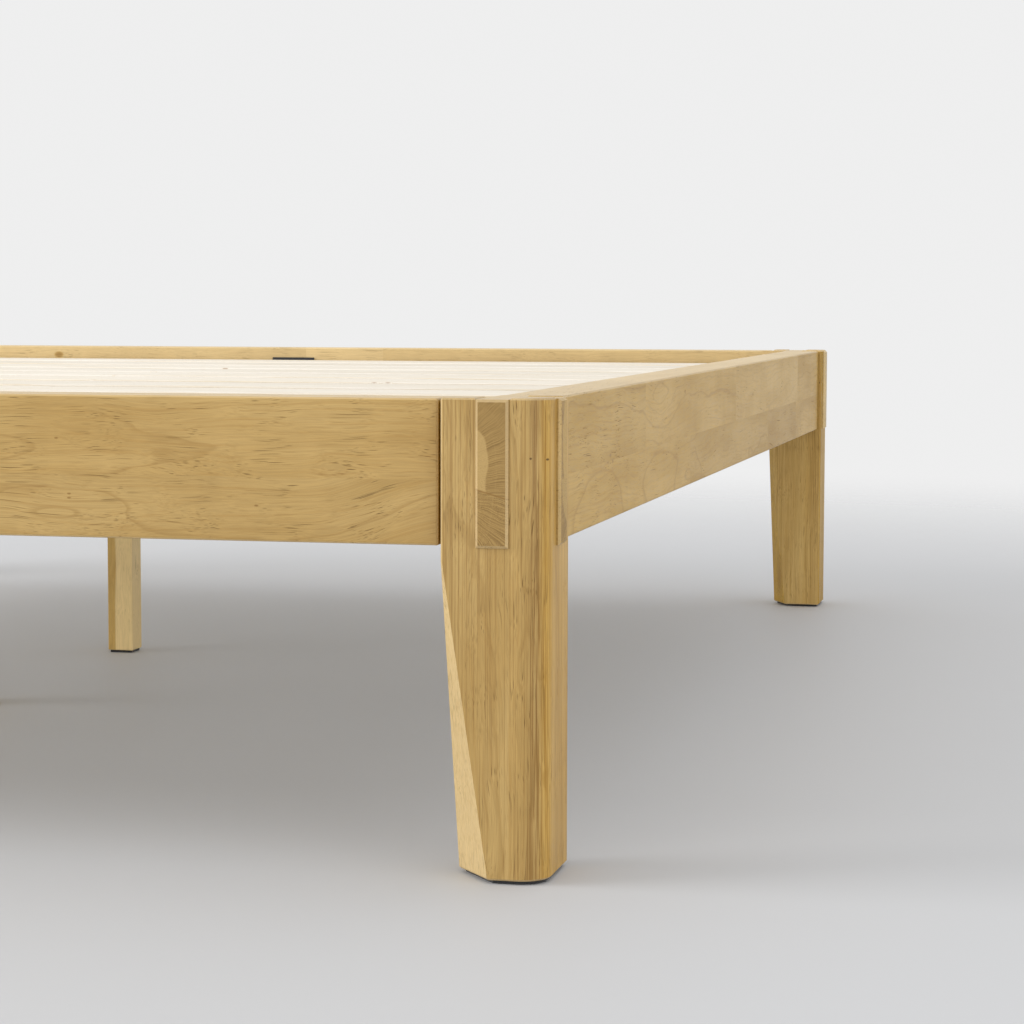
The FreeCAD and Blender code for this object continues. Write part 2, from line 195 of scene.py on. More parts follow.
def grain_group():
    """Growth rings, pores and fibres of a board. Grain is the place in the board, in metres, with X
    along the fibres. Board is three chance numbers that tell one board from the next, Pith is where
    the tree's middle line runs, Swell bends the rings into a figure and Crowding adds pores."""
    tree, given, result = new_group(
        "open_pored_grain",
        {"Grain": "Vector", "Board": "Vector", "Pith": "Vector", "Swell": "Float", "Crowding": "Float"},
        {"Ring": "Float", "Pores": "Float", "Flecks": "Float", "Streaks": "Float", "Mottle": "Float",
         "Ripple": "Float", "Fibre": "Float", "Rays": "Float", "Outside": "Float"})
    chance = parts_of(tree, given["Board"])
    shift = vector_calc(tree, "MULTIPLY", given["Board"], board_shift)
    place = vector_calc(tree, "ADD", given["Grain"], shift)
    bend = vector_calc(tree, "ADD", swerve(tree, place, slow_bend, slow_bend_reach, 1.0),
                       swerve(tree, place, quick_bend, quick_bend_reach, 2.0))
    bent = vector_calc(tree, "ADD", given["Grain"], bend)
    flow = vector_calc(tree, "ADD", place, bend)

    from_pith = parts_of(tree, vector_calc(tree, "SUBTRACT", bent, given["Pith"]))
    reach = vector_calc(tree, "LENGTH", vector_of(tree, 0.0, from_pith[1], from_pith[2]))
    uneven = patches(tree, vector_of(tree, reach, chance[0], chance[1]), (ring_swing_width, 1.0, 1.0), 1.0)[0]
    turns = calc(tree, "ADD", calc(tree, "DIVIDE", reach, ring_width), given["Swell"])
    within = calc(tree, "FRACT", calc(tree, "MULTIPLY_ADD", uneven, ring_swing, turns))
    connect(tree, result["Ring"], calc(tree, "MULTIPLY", rise(tree, within, 0.84, 0.96),
                                       rise(tree, within, 0.96, 1.0, 1.0, 0.0)))

    cells = add(tree, "TexVoronoi", {"Vector": vector_calc(tree, "DIVIDE", flow, pore_cell), "Scale": 1.0})
    pick = parts_of(tree, cells.outputs["Color"])
    crowd = patches(tree, place, pore_cluster, 2.0)[0]
    chosen = rise(tree, calc(tree, "ADD", calc(tree, "ADD", pick[0], crowd), given["Crowding"]), *pore_choice)
    radius = rise(tree, pick[1], 0.0, 1.0, *pore_radii)
    core = calc(tree, "MULTIPLY", radius, pore_core)
    pore = rise(tree, cells.outputs["Distance"], core, radius, 1.0, 0.0)
    depth = rise(tree, pick[2], 0.0, 1.0, *pore_darkness)
    connect(tree, result["Pores"], calc(tree, "MULTIPLY", calc(tree, "MULTIPLY", pore, depth), chosen))

    small = add(tree, "TexVoronoi", {"Vector": vector_calc(tree, "DIVIDE", flow, fleck_cell), "Scale": 1.0})
    kept = rise(tree, parts_of(tree, small.outputs["Color"])[0], 0.35, 0.75)
    fleck = rise(tree, small.outputs["Distance"], 0.10, 0.40, 1.0, 0.0)
    connect(tree, result["Flecks"], calc(tree, "MULTIPLY", fleck, kept))

    connect(tree, result["Streaks"], rise(tree, patches(tree, flow, streak_patch, 3.0)[0], 0.46, 0.72))
    connect(tree, result["Mottle"], rise(tree, patches(tree, place, mottle_patch, 3.0)[0], 0.3, 0.7))
    connect(tree, result["Ripple"], rise(tree, patches(tree, place, ripple_patch, 1.0)[0], 0.25, 0.75))
    connect(tree, result["Fibre"], rise(tree, patches(tree, flow, fibre_patch, 2.0)[0], 0.25, 0.75))
    angle = calc(tree, "ARCTAN2", from_pith[1], from_pith[2])
    ray = patches(tree, vector_of(tree, angle, reach, chance[2]), (ray_spacing, ray_length, 1.0), 2.0)[0]
    connect(tree, result["Rays"], rise(tree, ray, 0.42, 0.64))
    connect(tree, result["Outside"], rise(tree, reach, heartwood_radius - heartwood_edge,
                                          heartwood_radius + heartwood_edge))
    return tree


open_pored_grain = grain_group()


edge_wear_and_highlight = 0.59


def edge_wear_and_top_light_group():
    """1 on faces that lie on top, about half on rounded edges and facets, 0 on upright faces. On the
    wood this lays pale edge wear with a painted highlight on the edges, and painted top light on tops.
    """
    tree, _, result = new_group("edge_wear_and_top_light", {}, {"Mask": "Float"})
    normal = add(tree, "NewGeometry").outputs["Normal"]
    across = parts_of(tree, vector_calc(tree, "ABSOLUTE", normal))
    straight = calc(tree, "MAXIMUM", calc(tree, "MAXIMUM", across[0], across[1]), across[2])
    slanting = rise(tree, straight, 0.80, 0.99, edge_wear_and_highlight, 0.0)
    on_top = rise(tree, parts_of(tree, normal)[2], 0.9, 0.99)
    connect(tree, result["Mask"], calc(tree, "MAXIMUM", slanting, on_top))
    return tree


edge_wear_and_top_light = edge_wear_and_top_light_group()

# Colours of the lacquered wood: two tones of a board's face and what lies on it, then cut ends.
face_dark = swatch(173, 142, 85)
face_light = swatch(186, 156, 99)
streak_brown = swatch(160, 125, 68)
ring_brown = swatch(156, 124, 70)
pore_brown = swatch(84, 60, 28)
fleck_brown = swatch(140, 106, 58)
worn_and_lit_pale = swatch(238, 216, 174)
tone_brown = swatch(132, 99, 50)
tone_pale = swatch(232, 212, 168)
end_light = swatch(184, 155, 100)
end_dark = swatch(162, 133, 80)
ray_brown = swatch(100, 75, 38)
streak_share = 0.42
ring_share = 0.50
end_ring_share = 0.12
fleck_share = 0.42
wear_and_highlight_share = 0.44
pore_share = 0.78
pore_depth = 0.00014
fleck_depth = 0.00003
fibre_height = 0.00003
ray_shares = (0.14, 0.62)
fibre_tones = (0.93, 1.06)
ripple_tones = (0.985, 1.012)
darkest_board = 0.955
board_tone_range = 0.09
satin_roughness = (0.38, 0.46)
mottle_roughness = -0.03
pore_roughness = 0.25


def lacquered_hardwood_group():
    """Colour, roughness and relief of a lacquered board from its grain. End is how far a face is cut
    across the fibres, Tone makes a place browner below zero and paler above it, and Wear and light is
    how much of the pale edge wear, painted edge highlight and painted top light a place has."""
    tree, given, result = new_group(
        "lacquered_hardwood",
        {"Grain": "Vector", "Board": "Vector", "Pith": "Vector", "Swell": "Float", "Crowding": "Float",
         "End": "Float", "Tone": "Float", "Wear and light": "Float"},
        {"Color": "Color", "Roughness": "Float", "Height": "Float"})
    figure = place_group(tree, open_pored_grain, {label: given[label] for label in
                                                  ("Grain", "Board", "Pith", "Swell", "Crowding")})
    edges_and_tops = calc(tree, "MULTIPLY", place_group(tree, edge_wear_and_top_light, {})["Mask"], given["Wear and light"])
    chance = parts_of(tree, given["Board"])

    face = blend_colors(tree, figure["Mottle"], face_dark, face_light)
    face = blend_colors(tree, calc(tree, "MULTIPLY", figure["Streaks"], streak_share), face, streak_brown)
    face = blend_colors(tree, calc(tree, "MULTIPLY", figure["Ring"], ring_share), face, ring_brown)
    face = blend_colors(tree, calc(tree, "MULTIPLY", figure["Flecks"], fleck_share), face, fleck_brown)

    cut = blend_colors(tree, figure["Outside"], end_light, end_dark)
    rays = calc(tree, "MULTIPLY", figure["Rays"], rise(tree, figure["Outside"], 0.0, 1.0, *ray_shares))
    cut = blend_colors(tree, rays, cut, ray_brown)
    cut = blend_colors(tree, calc(tree, "MULTIPLY", figure["Ring"], end_ring_share), cut, end_light)

    tone = blend_colors(tree, given["End"], face, cut)
    browner = calc(tree, "MULTIPLY", given["Tone"], -1.0, clamp=True)
    tone = blend_colors(tree, browner, tone, tone_brown)
    tone = blend_colors(tree, calc(tree, "ADD", given["Tone"], 0.0, clamp=True), tone, tone_pale)
    # Pale edge wear, with a painted highlight on the edges and painted top light on the tops.
    tone = blend_colors(tree, calc(tree, "MULTIPLY", edges_and_tops, wear_and_highlight_share), tone, worn_and_lit_pale)
    tone = blend_colors(tree, calc(tree, "MULTIPLY", figure["Pores"], pore_share), tone, pore_brown)
    fibre = calc(tree, "MULTIPLY", rise(tree, figure["Fibre"], 0.0, 1.0, *fibre_tones),
                 rise(tree, figure["Ripple"], 0.0, 1.0, *ripple_tones))
    board = calc(tree, "MULTIPLY_ADD", chance[0], board_tone_range, darkest_board)
    connect(tree, result["Color"], scaled(tree, tone, calc(tree, "MULTIPLY", fibre, board)))

    satin = rise(tree, figure["Fibre"], 0.0, 1.0, *satin_roughness)
    satin = calc(tree, "MULTIPLY_ADD", figure["Mottle"], mottle_roughness, satin)
    connect(tree, result["Roughness"], calc(tree, "MULTIPLY_ADD", figure["Pores"], pore_roughness, satin))
    relief = calc(tree, "MULTIPLY_ADD", figure["Pores"], -pore_depth,
                  calc(tree, "MULTIPLY", figure["Fibre"], fibre_height))
    connect(tree, result["Height"], calc(tree, "MULTIPLY_ADD", figure["Flecks"], -fleck_depth, relief))
    return tree


lacquered_hardwood = lacquered_hardwood_group()


def end_grain(tree, fibres):
    """1 on faces cut across the fibres, 0 along them."""
    normal = add(tree, "NewGeometry").outputs["Normal"]
    return rise(tree, calc(tree, "ABSOLUTE", vector_calc(tree, "DOT_PRODUCT", normal, fibres)), 0.55, 0.9)


def tinted(tree, color, yellow, bright, share=1.0):
    """Colour made yellower and brighter over a share of the surface."""
    return add(tree, "HueSaturation", {"Saturation": yellow, "Value": bright, "Fac": share,
                                       "Color": color}).outputs["Color"]


def coat(tree, shader, finish, gloss=0.5, color=None):
    """Lays the roughness and relief of a finish on a shader, and its colour if no other is given."""
    shader.inputs["Specular IOR Level"].default_value = gloss
    connect(tree, shader.inputs["Base Color"], finish["Color"] if color is None else color)
    connect(tree, shader.inputs["Roughness"], finish["Roughness"])
    bump = add(tree, "Bump", {"Height": finish["Height"], "Strength": 1.0, "Distance": 1.0})
    connect(tree, shader.inputs["Normal"], bump.outputs["Normal"])


def chance_numbers(tree, x, y, z):
    """Three chance numbers that are the same all over one board."""
    return add(tree, "TexWhiteNoise", {"Vector": vector_of(tree, x, y, z)}).outputs["Color"]


pith_nearest = (0.0, -0.06, -0.035)
pith_spread = (0.0, 0.12, -0.07)


def pith_by_chance(tree, numbers):
    """Middle line of the tree, somewhere behind the board."""
    return vector_calc(tree, "MULTIPLY_ADD", numbers, pith_spread, pith_nearest)


def bump_at(tree, along, across, middle, reach):
    """Smooth hill, 1 in its middle and 0 from its reach on, in two directions."""
    first = calc(tree, "DIVIDE", calc(tree, "SUBTRACT", along, middle[0]), reach[0])
    second = calc(tree, "DIVIDE", calc(tree, "SUBTRACT", across, middle[1]), reach[1])
    away = vector_calc(tree, "LENGTH", vector_of(tree, first, second, 0.0))
    return rise(tree, away, 0.0, 1.0, 1.0, 0.0)


def largest(tree, values):
    result = values[0]
    for value in values[1:]:
        result = calc(tree, "MAXIMUM", result, value)
    return result


wood_gloss = 0.18
leg_middle = (0.8165, 1.0235)
leg_board_joint_x = 0.830
outer_board_dark_x = 0.85
outer_board_tones = (0.02, -0.12)
foot_leg_tone = -0.12
head_leg_tone = 0.04
leg_streak_x = 0.8525
leg_streak_half_width = 0.010
leg_streak_bend = (0.05, 0.05, 0.12)
leg_streak_bend_reach = 0.010
leg_streak_strand = (0.0016, 0.0016, 0.08)
leg_streak_darkness = -0.60
head_leg_streak_share = 0.3
leg_line_patch = (0.22, 0.0009, 0.0009)
leg_line_darkness = -0.48
leg_pore_crowding = 0.03
facet_paleness = 0.33
head_leg_streak = (0.798, 0.045)
head_leg_streak_reach = (0.009, 0.050)
head_leg_streak_darkness = -0.7
leg_side_shade_yellow = 0.08
leg_side_painted_highlight = 0.24
head_leg_yellow = 0.04
head_leg_painted_light = 0.09
head_leg_side_shade_yellow = 0.24
head_leg_side_painted_shade = -0.42
pin_holes = ((0.8470, 0.3503), (0.8585, 0.3492))
pin_hole_radius = 0.0015
pin_hole_share = 0.85


def leg_material():
    made, tree, shader, place = new_material("leg_hardwood")
    x, y, z = parts_of(tree, place)
    out_x = calc(tree, "ABSOLUTE", x)
    out_y = calc(tree, "ABSOLUTE", y)
    outer_board = calc(tree, "GREATER_THAN", out_x, leg_board_joint_x)
    corner = calc(tree, "MULTIPLY_ADD", calc(tree, "SIGN", x), 3.0, calc(tree, "SIGN", y))
    numbers = chance_numbers(tree, corner, outer_board, 4.0)
    spot = vector_of(tree, z, calc(tree, "SUBTRACT", out_x, leg_middle[0]),
                     calc(tree, "SUBTRACT", out_y, leg_middle[1]))

    # The outer board darkens away from the joint. Dark heartwood streaks run down it, strongest in
    # the foot legs, and the head legs have one more, low down on the inner board.
    wander = calc(tree, "SUBTRACT", patches(tree, place, leg_streak_bend, 2.0)[0], 0.5)
    streak_place = calc(tree, "MULTIPLY_ADD", wander, leg_streak_bend_reach, out_x)
    broken = rise(tree, patches(tree, place, leg_streak_strand, 3.0)[0], 0.44, 0.56)
    off_streak = calc(tree, "ABSOLUTE", calc(tree, "SUBTRACT", streak_place, leg_streak_x))
    streak = calc(tree, "MULTIPLY", rise(tree, off_streak, 0.0, leg_streak_half_width, 1.0, 0.0), broken)
    at_foot = calc(tree, "LESS_THAN", y, 0.0)
    streak = calc(tree, "MULTIPLY", streak, calc(tree, "MULTIPLY_ADD", at_foot, 1 - head_leg_streak_share,
                                                 head_leg_streak_share))
    by_joint = calc(tree, "MULTIPLY", outer_board,
                    rise(tree, out_x, leg_board_joint_x, outer_board_dark_x, *outer_board_tones))
    tone = calc(tree, "ADD", by_joint, calc(tree, "MULTIPLY_ADD", at_foot, foot_leg_tone - head_leg_tone,
                                            head_leg_tone))
    tone = calc(tree, "MULTIPLY_ADD", streak, leg_streak_darkness, tone)
    at_head = calc(tree, "SUBTRACT", 1.0, at_foot)
    low_streak = bump_at(tree, out_x, z, head_leg_streak, head_leg_streak_reach)
    tone = calc(tree, "MULTIPLY_ADD", calc(tree, "MULTIPLY", low_streak, at_head),
                head_leg_streak_darkness, tone)
    lines = rise(tree, patches(tree, spot, leg_line_patch, 2.0)[0], 0.50, 0.68)
    tone = calc(tree, "MULTIPLY_ADD", lines, leg_line_darkness, tone)

    # The planed facets of the foot legs are paler. The rounded outer corner gets none of the pale edge wear,
    # painted edge highlight and painted top light.
    facing = parts_of(tree, vector_calc(tree, "ABSOLUTE", add(tree, "NewGeometry").outputs["Normal"]))
    slanting = calc(tree, "MULTIPLY", rise(tree, facing[0], 0.3, 0.5), rise(tree, facing[1], 0.3, 0.5))
    inner = calc(tree, "LESS_THAN", out_x, leg_middle[0])
    facet = calc(tree, "MULTIPLY", calc(tree, "MULTIPLY", slanting, inner), at_foot)
    tone = calc(tree, "MULTIPLY_ADD", facet, facet_paleness, tone)
    outer = calc(tree, "SUBTRACT", 1.0, inner)
    curved = calc(tree, "MULTIPLY", outer, rise(tree, facing[2], 0.1, 0.3, 1.0, 0.0))
    wear_and_light = calc(tree, "SUBTRACT", 1.0, curved)
    wood = place_group(tree, lacquered_hardwood,
                       {"Grain": spot, "Board": numbers, "Pith": pith_by_chance(tree, numbers),
                        "Swell": 0.0, "Crowding": leg_pore_crowding, "End": end_grain(tree, (0, 0, 1)),
                        "Tone": tone, "Wear and light": wear_and_light})

    # The sides of the legs are painted yellower, as the shade that side lies in, the head legs most. Their
    # outer sides are painted brighter on the foot legs, as a painted highlight, and darker on the head legs,
    # as painted shade. The head legs are yellower all over, and painted brighter all over to lift the shade
    # they stand in.
    sideways = rise(tree, facing[0], 0.62, 0.92)
    rounding = calc(tree, "MULTIPLY", sideways, outer)
    yellow = calc(tree, "MULTIPLY_ADD", sideways,
                  calc(tree, "MULTIPLY_ADD", at_head, head_leg_side_shade_yellow, leg_side_shade_yellow),
                  calc(tree, "MULTIPLY_ADD", at_head, head_leg_yellow, 1.0))
    bright = calc(tree, "MULTIPLY_ADD", rounding,
                  calc(tree, "MULTIPLY_ADD", at_head, head_leg_side_painted_shade, leg_side_painted_highlight),
                  calc(tree, "MULTIPLY_ADD", at_head, head_leg_painted_light, 1.0))
    wood_and_light_tinted = tinted(tree, wood["Color"], yellow, bright)

    # Two small pin holes in the outer board, filled with dark wax.
    holes = largest(tree, [bump_at(tree, out_x, z, hole, (pin_hole_radius, pin_hole_radius))
                           for hole in pin_holes])
    filled = calc(tree, "MULTIPLY", rise(tree, holes, 0.1, 0.6), pin_hole_share)
    coat(tree, shader, wood, wood_gloss, blend_colors(tree, filled, wood_and_light_tinted, pore_brown))
    return made


finish_with(leg_material(), "foot_leg_left", "foot_leg_right", "head_leg_left", "head_leg_right")


# ------------------------------------------------------------------------------------ side rails
# Two rows of finger-jointed staves of the same hardwood, glued edge to edge, with a tongue at each
# end. The tongues pass through the legs and show their end grain, chamfered all round.
glue_line_z = 0.331
rail_middle_z = 0.3375
side_rail_middle_x = 0.829
upper_stave_joints = ((-0.576, 0.03), (0.066, 0.06), (0.708, -0.10))
lower_stave_joints = ((-0.290, -0.03), (0.372, -0.15), (0.692, 0.17))
upper_end_pith = (0.0, -0.0085, -0.0890)
lower_end_pith = (0.0, -0.006, -0.102)
side_rail_whorls = (((-0.485, 0.300), (0.16, 0.040), 0.9), ((-0.287, 0.286), (0.13, 0.034), -1.2),
                    ((-0.810, 0.292), (0.17, 0.044), 1.2), ((-0.480, 0.372), (0.13, 0.036), 1.0))
side_rail_spots = ((0.220, 0.358), (-0.763, 0.336), (-0.752, 0.330), (-0.330, 0.380))
side_rail_spot_reach = (0.009, 0.0035)
side_rail_spot_tone = -0.55
crowded_pores_end_y = (-0.86, -0.55)
pore_crowding_then_none = (0.03, -0.30)
side_rail_painted_yellow = 1.13
side_rail_painted_bright = 1.03
tongue_tip_y = 1.0685
end_ray_start = (0.8015, 0.3250)
end_ray_slope = 0.30
pale_ray_below = 0.0013
pale_ray_tone = 0.24
dark_ray_above = 0.0003
dark_ray_tone = -0.65
tongue_tip_tone = -0.24


def either(tree, share, first, second):
    """First number where share is 0, second where it is 1."""
    return add(tree, "Mix", {"Factor": share, "A": first, "B": second}).outputs["Result"]


def either_vector(tree, share, first, second):
    made = add(tree, "Mix", {"Factor": share}, data_type="VECTOR")
    connect(tree, made.inputs[4], first)
    connect(tree, made.inputs[5], second)
    return made.outputs[1]


def staves(tree, along, joints):
    """Number of the stave at a place along a row, and its tone. Each joint changes both."""
    number = 0.0
    tone = 0.0
    for place, step in joints:
        passed = calc(tree, "GREATER_THAN", along, place)
        number = calc(tree, "ADD", number, passed)
        tone = calc(tree, "MULTIPLY_ADD", passed, step, tone)
    return number, tone


def added(tree, values):
    result = values[0]
    for value in values[1:]:
        result = calc(tree, "ADD", result, value)
    return result


def whorl(tree, along, across, middle, reach, height):
    return calc(tree, "MULTIPLY", bump_at(tree, along, across, middle, reach), height)


def side_rail_material():
    made, tree, shader, place = new_material("side_rail_hardwood")
    x, y, z = parts_of(tree, place)
    side = calc(tree, "SIGN", x)
    out_x = calc(tree, "ABSOLUTE", x)
    out_y = calc(tree, "ABSOLUTE", y)
    above_ray = calc(tree, "MULTIPLY_ADD", calc(tree, "SUBTRACT", out_x, end_ray_start[0]), end_ray_slope,
                     calc(tree, "SUBTRACT", z, end_ray_start[1]))
    on_tip = calc(tree, "GREATER_THAN", out_y, tongue_tip_y)
    border = either(tree, on_tip, calc(tree, "SUBTRACT", z, glue_line_z), above_ray)
    upper = calc(tree, "GREATER_THAN", border, 0.0)
    upper_number, upper_tone = staves(tree, y, upper_stave_joints)
    lower_number, lower_tone = staves(tree, y, lower_stave_joints)
    number = either(tree, upper, lower_number, upper_number)
    tone = either(tree, upper, lower_tone, upper_tone)
    numbers = chance_numbers(tree, calc(tree, "MULTIPLY_ADD", side, 5.0, upper), number, 1.0)
    end_pith = either_vector(tree, upper, lower_end_pith, upper_end_pith)
    past_first = calc(tree, "GREATER_THAN", number, 0.5)
    pith = either_vector(tree, past_first, end_pith, pith_by_chance(tree, numbers))
    spot = vector_of(tree, y, calc(tree, "SUBTRACT", z, rail_middle_z),
                     calc(tree, "SUBTRACT", out_x, side_rail_middle_x))
    swell = added(tree, [whorl(tree, y, z, *each) for each in side_rail_whorls])
    crowding = rise(tree, y, *crowded_pores_end_y, *pore_crowding_then_none)
    spots = largest(tree, [bump_at(tree, y, z, each, side_rail_spot_reach) for each in side_rail_spots])
    tone = calc(tree, "MULTIPLY_ADD", rise(tree, spots, 0.2, 0.8), side_rail_spot_tone, tone)

    # A broad pale ray crosses the end of the tongue, with a dark line above it.
    off_pale = calc(tree, "ABSOLUTE", calc(tree, "ADD", above_ray, pale_ray_below))
    off_dark = calc(tree, "ABSOLUTE", calc(tree, "SUBTRACT", above_ray, dark_ray_above))
    pale = calc(tree, "MULTIPLY", on_tip, rise(tree, off_pale, 0.0002, 0.0017, pale_ray_tone, 0.0))
    pale = calc(tree, "MULTIPLY", pale, rise(tree, out_x, end_ray_start[0], side_rail_middle_x))
    dark = calc(tree, "MULTIPLY", on_tip, rise(tree, off_dark, 0.0, 0.0012, dark_ray_tone, 0.0))
    tone = calc(tree, "ADD", tone, calc(tree, "ADD", pale, dark))
    tone = calc(tree, "MULTIPLY_ADD", on_tip, tongue_tip_tone, tone)
    wood = place_group(tree, lacquered_hardwood,
                       {"Grain": spot, "Board": numbers, "Pith": pith, "Swell": swell,
                        "Crowding": crowding, "End": end_grain(tree, (0, 1, 0)), "Tone": tone,
                        "Wear and light": 1.0})
    # The faces at the sides of the rails are painted yellower and a little brighter: painted light for that
    # side, which lies in shade.
    facing_side = calc(tree, "ABSOLUTE", parts_of(tree, add(tree, "NewGeometry").outputs["Normal"])[0])
    yellower = tinted(tree, wood["Color"], side_rail_painted_yellow, side_rail_painted_bright,
                      calc(tree, "GREATER_THAN", facing_side, 0.9))
    coat(tree, shader, wood, wood_gloss, yellower)
    return made


finish_with(side_rail_material(), "side_rail_left", "side_rail_right")


# ------------------------------------------------------------------------------------ end rails
# The foot and head rails are made like the side rails, of two rows of long staves. Their tongues
# cross those of the side rails inside the legs. The foot rail has a half-grown knot near its right
# end, with the fibres swept round it and rising beyond it.
end_rail_middle_y = 1.029
foot_stave_joints = {"upper": ((-0.420, 0.08), (0.160, -0.12)), "lower": ((-0.610, 0.05), (0.050, -0.09))}
head_stave_joints = {"upper": ((-0.560, 0.07), (0.021, 0.04), (0.151, -0.08)), "lower": ((0.300, 0.06),)}
head_knot = (-0.407, 0.384)
head_knot_reach = (0.014, 0.009)
head_knot_swell = 1.5
head_knot_tone = -0.9
foot_knot = (0.676, 0.340)
foot_knot_reach = (0.030, 0.013)
foot_knot_tone = -0.5
torn_fibre_patch = (0.010, 0.004, 0.0012)
foot_rail_whorls = (((0.435, 0.303), (0.090, 0.026), 1.1), ((0.330, 0.350), (0.14, 0.026), -1.0),
                    ((0.600, 0.372), (0.16, 0.020), 0.8))
foot_rail_spots = ((0.445, 0.314), (0.445, 0.3105), (0.611, 0.307), (0.434, 0.361))
foot_rail_spot_reach = (0.0035, 0.0016)
foot_rail_spot_tone = -0.65
foot_rail_fade_x = (0.05, 0.60)
foot_rail_right_tone = -0.14
fibre_rise_start = 0.655
fibre_rise_end = 0.80
fibre_rise = 0.030
foot_rail_pore_crowding = 0.03
head_rail_pore_crowding = -0.15
head_rail_painted_light = 0.30
end_rail_tip_yellow = 1.15
end_rail_tip_bright = 1.05


def end_rail_material(name, at_foot):
    made, tree, shader, place = new_material(name)
    x, y, z = parts_of(tree, place)
    upper = calc(tree, "GREATER_THAN", z, glue_line_z)
    joints = foot_stave_joints if at_foot else head_stave_joints
    upper_number, upper_tone = staves(tree, x, joints["upper"])
    lower_number, lower_tone = staves(tree, x, joints["lower"])
    number = either(tree, upper, lower_number, upper_number)
    tone = either(tree, upper, lower_tone, upper_tone)
    numbers = chance_numbers(tree, upper, number, 21.0 if at_foot else 34.0)
    crowding = foot_rail_pore_crowding if at_foot else head_rail_pore_crowding
    height = calc(tree, "SUBTRACT", z, rail_middle_z)
    if not at_foot:
        knot = bump_at(tree, x, z, head_knot, head_knot_reach)
        swell = calc(tree, "MULTIPLY", knot, head_knot_swell)
        # Painted light: the head rail is painted paler all over, as the light the slats throw onto its inner
        # face.
        tone = calc(tree, "ADD", tone, head_rail_painted_light)
        tone = calc(tree, "MULTIPLY_ADD", rise(tree, knot, 0.2, 0.8), head_knot_tone, tone)
    else:
        lift = calc(tree, "MULTIPLY", calc(tree, "SUBTRACT", 1.0, upper),
                    rise(tree, x, fibre_rise_start, fibre_rise_end, 0.0, fibre_rise))
        height = calc(tree, "SUBTRACT", height, lift)
        knot = calc(tree, "MULTIPLY", bump_at(tree, x, z, foot_knot, foot_knot_reach), upper)
        from_knot = calc(tree, "SUBTRACT", z, foot_knot[1])
        height = calc(tree, "SUBTRACT", height, calc(tree, "MULTIPLY", from_knot, knot))
        swell = added(tree, [whorl(tree, x, z, *each) for each in foot_rail_whorls])
        tone = calc(tree, "ADD", tone, rise(tree, x, *foot_rail_fade_x, 0.0, foot_rail_right_tone))
        spots = largest(tree, [bump_at(tree, x, z, each, foot_rail_spot_reach) for each in foot_rail_spots])
        tone = calc(tree, "MULTIPLY_ADD", rise(tree, spots, 0.2, 0.8), foot_rail_spot_tone, tone)
        rim = calc(tree, "MULTIPLY", rise(tree, knot, 0.25, 0.5), rise(tree, knot, 0.5, 0.8, 1.0, 0.25))
        rim = calc(tree, "MULTIPLY", rim, rise(tree, from_knot, -0.005, 0.002, 1.0, 0.2))
        torn = rise(tree, patches(tree, place, torn_fibre_patch, 3.0)[0], 0.42, 0.62)
        tone = calc(tree, "MULTIPLY_ADD", calc(tree, "MULTIPLY", rim, torn), foot_knot_tone, tone)
    spot = vector_of(tree, x, height, calc(tree, "SUBTRACT", calc(tree, "ABSOLUTE", y), end_rail_middle_y))
    wood = place_group(tree, lacquered_hardwood,
                       {"Grain": spot, "Board": numbers, "Pith": pith_by_chance(tree, numbers),
                        "Swell": swell, "Crowding": crowding, "End": end_grain(tree, (1, 0, 0)),
                        "Tone": tone, "Wear and light": 1.0})
    coat(tree, shader, wood, wood_gloss, tinted(tree, wood["Color"], end_rail_tip_yellow,
                                                end_rail_tip_bright, end_grain(tree, (1, 0, 0))))
    return made


finish_with(end_rail_material("foot_rail_hardwood", True), "foot_rail")
finish_with(end_rail_material("head_rail_hardwood", False), "head_rail")


# ------------------------------------------------------------------------------------ ledges
# A square-edged batten of the same hardwood along the inside of each side rail, screwed to it. The
# slats rest on it. It is a darker board than the rails.
ledge_tone = -0.06


def ledge_material():
    made, tree, shader, place = new_material("ledge_hardwood")
    x, y, z = parts_of(tree, place)
    numbers = chance_numbers(tree, calc(tree, "SIGN", x), 51.0, 0.0)
    wood = place_group(tree, lacquered_hardwood,
                       {"Grain": vector_of(tree, y, z, x), "Board": numbers,
                        "Pith": pith_by_chance(tree, numbers), "Swell": 0.0, "Crowding": 0.0,
                        "End": end_grain(tree, (0, 1, 0)), "Tone": ledge_tone, "Wear and light": 1.0})
    coat(tree, shader, wood, wood_gloss)
    return made


finish_with(ledge_material(), "slat_ledge_left", "slat_ledge_right")


# ------------------------------------------------------------------------------------ slats
# Eleven boards of pale knotty softwood, planed, with their edges eased and left bare. Each lies
# across the bed on the two ledges and the middle beam, with a screw at each end.
slat_pitch = 0.1864
first_slat_edge_y = -0.997
pine_pith_spread = (0.10, 0.06)
pine_ring_width = 0.0046
pine_bend = (0.5, 0.05, 0.05)
pine_bend_reach = 0.020
pine_streak = (0.35, 0.012, 0.012)
pine_fibre = (0.05, 0.0006, 0.0006)
early_wood = swatch(233, 226, 214)
late_wood = swatch(217, 202, 175)
resin_beige = swatch(221, 206, 178)
knot_brown = swatch(150, 108, 62)
rings_round_knot = -3.0
pine_ring_share = 0.55
resin_share = 0.6
knot_share = 0.55
pine_fibre_tones = (0.965, 1.03)
darkest_slat = 0.96
slat_tone_range = 0.06
pine_roughness = 0.52
pine_fibre_roughness = 0.1
pine_ring_height = 0.00004
slat_knots = ((0.126, -0.318), (0.073, -0.060), (0.030, 0.126), (0.016, 0.312), (0.060, 0.388),
              (0.056, 0.494), (0.435, -0.062), (0.452, -0.062), (0.583, -0.127))
slat_knot_reach = (0.008, 0.006)


